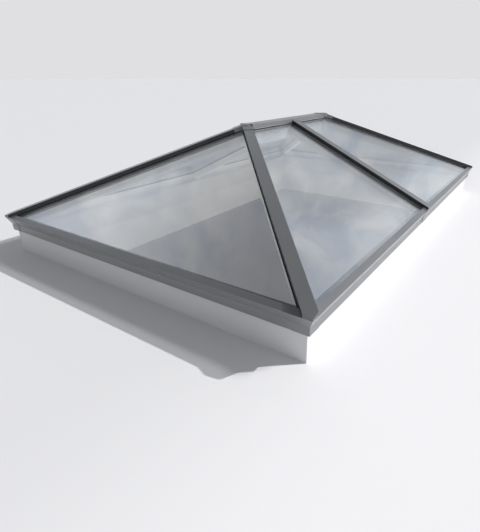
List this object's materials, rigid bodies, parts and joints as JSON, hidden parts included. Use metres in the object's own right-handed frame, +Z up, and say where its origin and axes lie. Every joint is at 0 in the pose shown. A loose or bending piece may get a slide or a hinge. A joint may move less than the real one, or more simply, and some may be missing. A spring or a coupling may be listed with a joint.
{
  "type": "roof lantern skylight",
  "caption": "Fixed hipped roof lantern on a white kerb: dark grey aluminium caps and eaves covers over double-glazed sloping panes.",
  "frame": {"origin": "centre of the kerb's underside, where it stands on the roof deck", "axes": "+Z up; +X along the ridge and the long sides; +Y across the ridge"},
  "size_m": [3.0734, 2.0762, 0.7065],
  "materials": {
    "kerb_white": "satin",
    "frame_white": "satin",
    "cover_anthracite": "satin",
    "glass": "polished",
    "spacer_grey": "matte",
    "gasket_rubber": "matte",
    "seal_foam": "matte",
    "strip_aluminium": "brushed",
    "cleat_aluminium": "satin",
    "screw_steel": "polished"
  },
  "bodies": {
    "root": {"clamp_screws": "screw_steel", "clamp_strips": "strip_aluminium", "corner_cleats": "cleat_aluminium", "corner_cover_north_east": "cover_anthracite", "corner_cover_north_west": "cover_anthracite", "corner_cover_south_east": "cover_anthracite", "corner_cover_south_west": "cover_anthracite", "eaves_cover_east": "cover_anthracite", "eaves_cover_north": "cover_anthracite", "eaves_cover_south": "cover_anthracite", "eaves_cover_west": "cover_anthracite", "hip_beam_north_east": "frame_white", "hip_beam_north_west": "frame_white", "hip_beam_south_east": "frame_white", "hip_beam_south_west": "frame_white", "hip_cap_north_east": "cover_anthracite", "hip_cap_north_west": "cover_anthracite", "hip_cap_south_east": "cover_anthracite", "hip_cap_south_west": "cover_anthracite", "inner_gaskets": "gasket_rubber", "inner_pane_east": "glass", "inner_pane_north_east": "glass", "inner_pane_north_west": "glass", "inner_pane_south_east": "glass", "inner_pane_south_west": "glass", "inner_pane_west": "glass", "kerb": "kerb_white", "kerb_screws": "screw_steel", "outer_gaskets": "gasket_rubber", "outer_pane_east": "glass", "outer_pane_north_east": "glass", "outer_pane_north_west": "glass", "outer_pane_south_east": "glass", "outer_pane_south_west": "glass", "outer_pane_west": "glass", "rafter_beam_north": "frame_white", "rafter_beam_south": "frame_white", "rafter_cap_north": "cover_anthracite", "rafter_cap_south": "cover_anthracite", "ridge_beam": "frame_white", "ridge_cap": "cover_anthracite", "ridge_end_cap_east": "cover_anthracite", "ridge_end_cap_west": "cover_anthracite", "ridge_hub_east": "frame_white", "ridge_hub_west": "frame_white", "ring_beam_east": "frame_white", "ring_beam_north": "frame_white", "ring_beam_south": "frame_white", "ring_beam_west": "frame_white", "saddle_cover_north": "cover_anthracite", "saddle_cover_south": "cover_anthracite", "setting_blocks": "gasket_rubber", "sill_seal": "seal_foam", "spacer_east": "spacer_grey", "spacer_north_east": "spacer_grey", "spacer_north_west": "spacer_grey", "spacer_south_east": "spacer_grey", "spacer_south_west": "spacer_grey", "spacer_west": "spacer_grey"}
  },
  "joints": []
}
